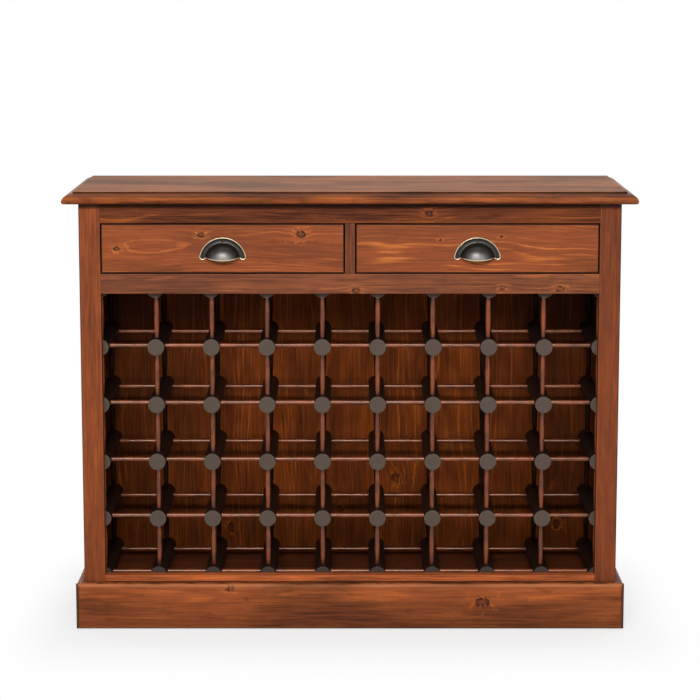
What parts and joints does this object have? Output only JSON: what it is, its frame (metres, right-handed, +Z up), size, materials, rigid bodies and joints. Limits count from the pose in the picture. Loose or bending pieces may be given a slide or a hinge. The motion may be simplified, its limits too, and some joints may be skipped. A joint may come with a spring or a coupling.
{
  "type": "wine cabinet",
  "caption": "Free-standing stained pine cabinet with side-by-side drawers on cup handles over an open lattice rack of dowels and turned rods that holds bottles lying down.",
  "frame": {"origin": "on the floor under the middle of the bounding box", "axes": "+Z up, the drawers and the open rack face -Y, +X to the right seen from the front"},
  "size_m": [1.15, 0.37, 0.9],
  "materials": {
    "stained_pine": "red-brown stain under satin lacquer",
    "drawer_front_pine": "lighter red-brown stain under satin lacquer",
    "back_pine": "dark stain, matt",
    "dowel_wood": "dark brown stain, grey-brown sawn ends",
    "rod_wood": "red-brown stain under satin lacquer",
    "bare_pine": "planed and unfinished",
    "pewter": "dark antique pewter, rubbed bright on the edges",
    "screw_bronze": "dark antique",
    "screw_steel": "zinc plated"
  },
  "bodies": {
    "cabinet": {"back_board_1": "back_pine", "back_board_2": "back_pine", "back_board_3": "back_pine", "back_board_4": "back_pine", "back_board_5": "back_pine", "back_board_6": "back_pine", "back_board_7": "back_pine", "back_board_8": "back_pine", "back_board_9": "back_pine", "back_board_screws": "screw_steel", "base_corner_blocks": "bare_pine", "bottom_rail": "stained_pine", "bottom_shelf": "stained_pine", "drawer_muntin": "stained_pine", "drawer_partition": "bare_pine", "drawer_rail": "stained_pine", "drawer_stops": "bare_pine", "dust_panel": "bare_pine", "left_drawer_guide": "bare_pine", "left_side_panel": "stained_pine", "left_stile": "stained_pine", "left_top_cleat": "bare_pine", "plinth_front": "stained_pine", "plinth_left": "stained_pine", "plinth_right": "stained_pine", "rack_dowels_row_1": "dowel_wood", "rack_dowels_row_2": "dowel_wood", "rack_dowels_row_3": "dowel_wood", "rack_dowels_row_4": "dowel_wood", "rack_dowels_row_5": "dowel_wood", "rack_dowels_row_6": "dowel_wood", "rack_front_cross_rods": "rod_wood", "rack_front_uprights": "rod_wood", "rack_rear_cross_rods": "rod_wood", "rack_rear_uprights": "rod_wood", "right_drawer_guide": "bare_pine", "right_side_panel": "stained_pine", "right_stile": "stained_pine", "right_top_cleat": "bare_pine", "top_back_rail": "bare_pine", "top_board": "stained_pine", "top_rail": "stained_pine", "top_screws": "screw_steel"},
    "left_drawer": {"left_cup_handle": "pewter", "left_drawer_back": "bare_pine", "left_drawer_bottom": "bare_pine", "left_drawer_front": "drawer_front_pine", "left_drawer_left_side": "bare_pine", "left_drawer_right_side": "bare_pine", "left_handle_screws": "screw_bronze"},
    "right_drawer": {"right_cup_handle": "pewter", "right_drawer_back": "bare_pine", "right_drawer_bottom": "bare_pine", "right_drawer_front": "drawer_front_pine", "right_drawer_left_side": "bare_pine", "right_drawer_right_side": "bare_pine", "right_handle_screws": "screw_bronze"}
  },
  "joints": [
    {"name": "left_drawer_slide", "type": "slide", "parent": "cabinet", "child": "left_drawer", "axis": [0, -1, 0], "range_m": [0, 0.2]},
    {"name": "right_drawer_slide", "type": "slide", "parent": "cabinet", "child": "right_drawer", "axis": [0, -1, 0], "range_m": [0, 0.2]}
  ]
}
